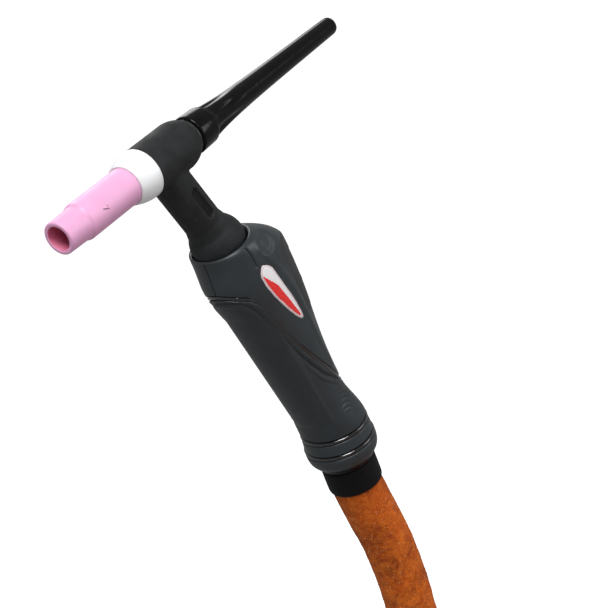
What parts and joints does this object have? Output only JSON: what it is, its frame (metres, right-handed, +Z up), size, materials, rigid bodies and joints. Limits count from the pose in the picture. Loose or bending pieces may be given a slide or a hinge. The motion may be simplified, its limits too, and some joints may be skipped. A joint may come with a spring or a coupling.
{
  "type": "tig welding torch",
  "caption": "Hand torch for TIG welding: T-shaped head with ceramic nozzle and long back cap, shaped grip with trigger buttons, swivelling tail and leather-sleeved lead with plugs.",
  "frame": {"origin": "the middle of the hand grip, on the handle's own axis, where a hand or a tool holder takes hold of the torch", "axes": "+Z up. The torch lies in the XZ plane, held up by its grip with the handle's axis leaning 39 degrees from the vertical: the nozzle points to -X and down, the back cap to +X and up, and the lead leaves the tail to +X and down, to be wound up on the level 0.26 m below."},
  "size_m": [0.5888, 0.3787, 0.4222],
  "materials": {
    "black_rubber": "matte moulded rubber",
    "brass": "turned",
    "copper": "drawn copper",
    "black_plastic": "satin moulded",
    "tungsten": "ground",
    "pink_ceramic": "fired ceramic, slight sheen",
    "white_gasket": "smooth white polymer",
    "seal_rubber": "smooth",
    "cap_black": "glossy moulded",
    "handle_grey": "satin charcoal",
    "screw_steel": "blackened",
    "soft_grip": "fine matte texture",
    "badge": "printed, clear coat",
    "panel_dark": "matte",
    "button_black": "matte moulded",
    "board_green": "solder mask",
    "hose_black": "smooth jacket",
    "wire_red": "extruded",
    "ring_black": "glossy",
    "knuckle_black": "glossy moulded",
    "collar_black": "matte moulded",
    "leather": "rough split leather, fuzzy",
    "tie_black": "woven strap",
    "cuff_rubber": "matte",
    "boot_rubber": "matte",
    "pin_brass": "turned",
    "hose_blue": "smooth jacket",
    "lead_grey": "smooth jacket"
  },
  "bodies": {
    "torch": {"torch_cover": "black_rubber", "head_core": "brass", "neck_tube": "copper", "neck_seat": "black_plastic", "collet_body": "brass", "collet": "copper", "handle_shell_left": "handle_grey", "handle_shell_right": "handle_grey", "shell_screws": "screw_steel", "grip_skin_sleeve": "soft_grip", "badges": "badge", "switch_panel": "panel_dark", "switch_board": "board_green", "microswitches": "black_plastic", "cable_joint": "brass", "power_hose": "hose_black", "control_wires": "wire_red", "tail_ring": "handle_grey", "tail_band_front": "ring_black", "tail_band_rear": "ring_black", "sleeve_run": "leather", "sleeve_coil": "leather", "sleeve_tail": "leather", "coil_ties": "tie_black", "end_cuff": "cuff_rubber", "power_lead": "hose_black", "plug_boot": "boot_rubber", "plug_pin": "pin_brass", "gas_hose": "hose_blue", "gas_nipple": "brass", "control_lead": "lead_grey", "control_plug": "black_plastic"},
    "electrode": {"electrode": "tungsten"},
    "seal": {"cap_seal": "seal_rubber"},
    "cap": {"back_cap": "cap_black"},
    "shield": {"heat_shield": "white_gasket"},
    "nozzle": {"nozzle": "pink_ceramic"},
    "upper_button": {"button_upper": "button_black"},
    "lower_button": {"button_lower": "button_black"},
    "knuckle": {"knuckle_ball": "knuckle_black", "cable_collar": "collar_black"},
    "gas_nut": {"gas_nut": "brass"}
  },
  "joints": [
    {"name": "cap_travel", "type": "slide", "parent": "torch", "child": "seal", "axis": [0.8616, 0, 0.5075], "range_m": [0, 0.00801]},
    {"name": "cap_turn", "type": "hinge", "parent": "seal", "child": "cap", "pos_m": [-0.09508, 0, 0.08505], "axis": [0.8616, 0, 0.5075], "range_deg": [0, 2304]},
    {"name": "nozzle_travel", "type": "slide", "parent": "torch", "child": "shield", "axis": [-0.8616, 0, -0.5075], "range_m": [0, 0.00636]},
    {"name": "nozzle_turn", "type": "hinge", "parent": "shield", "child": "nozzle", "pos_m": [-0.09508, 0, 0.08505], "axis": [-0.8616, 0, -0.5075], "range_deg": [0, 1800]},
    {"name": "electrode_slide", "type": "slide", "parent": "torch", "child": "electrode", "axis": [-0.8616, 0, -0.5075], "range_m": [-0.01, 0.02]},
    {"name": "button_upper_press", "type": "slide", "parent": "torch", "child": "upper_button", "axis": [-0.7771, 0, -0.6293], "range_m": [0, 0.0015], "stiffness_N_per_m": 800, "springref_m": -0.001},
    {"name": "button_lower_press", "type": "slide", "parent": "torch", "child": "lower_button", "axis": [-0.7771, 0, -0.6293], "range_m": [0, 0.0015], "stiffness_N_per_m": 800, "springref_m": -0.001},
    {"name": "knuckle_tilt", "type": "hinge", "parent": "torch", "child": "knuckle", "pos_m": [0.04028, 0, -0.04974], "axis": [0, 1, 0], "range_deg": [-10, 10], "deforming": ["sleeve_run"]},
    {"name": "gas_nut_spin", "type": "hinge", "parent": "torch", "child": "gas_nut", "pos_m": [-0.01, -0.302, -0.25], "axis": [-1, 0, 0], "continuous": true}
  ],
  "couplings": [
    {"joint": "cap_travel", "follows": "cap_turn", "m_per_rad": 0.00019894},
    {"joint": "nozzle_travel", "follows": "nozzle_turn", "m_per_rad": 0.00020213}
  ]
}
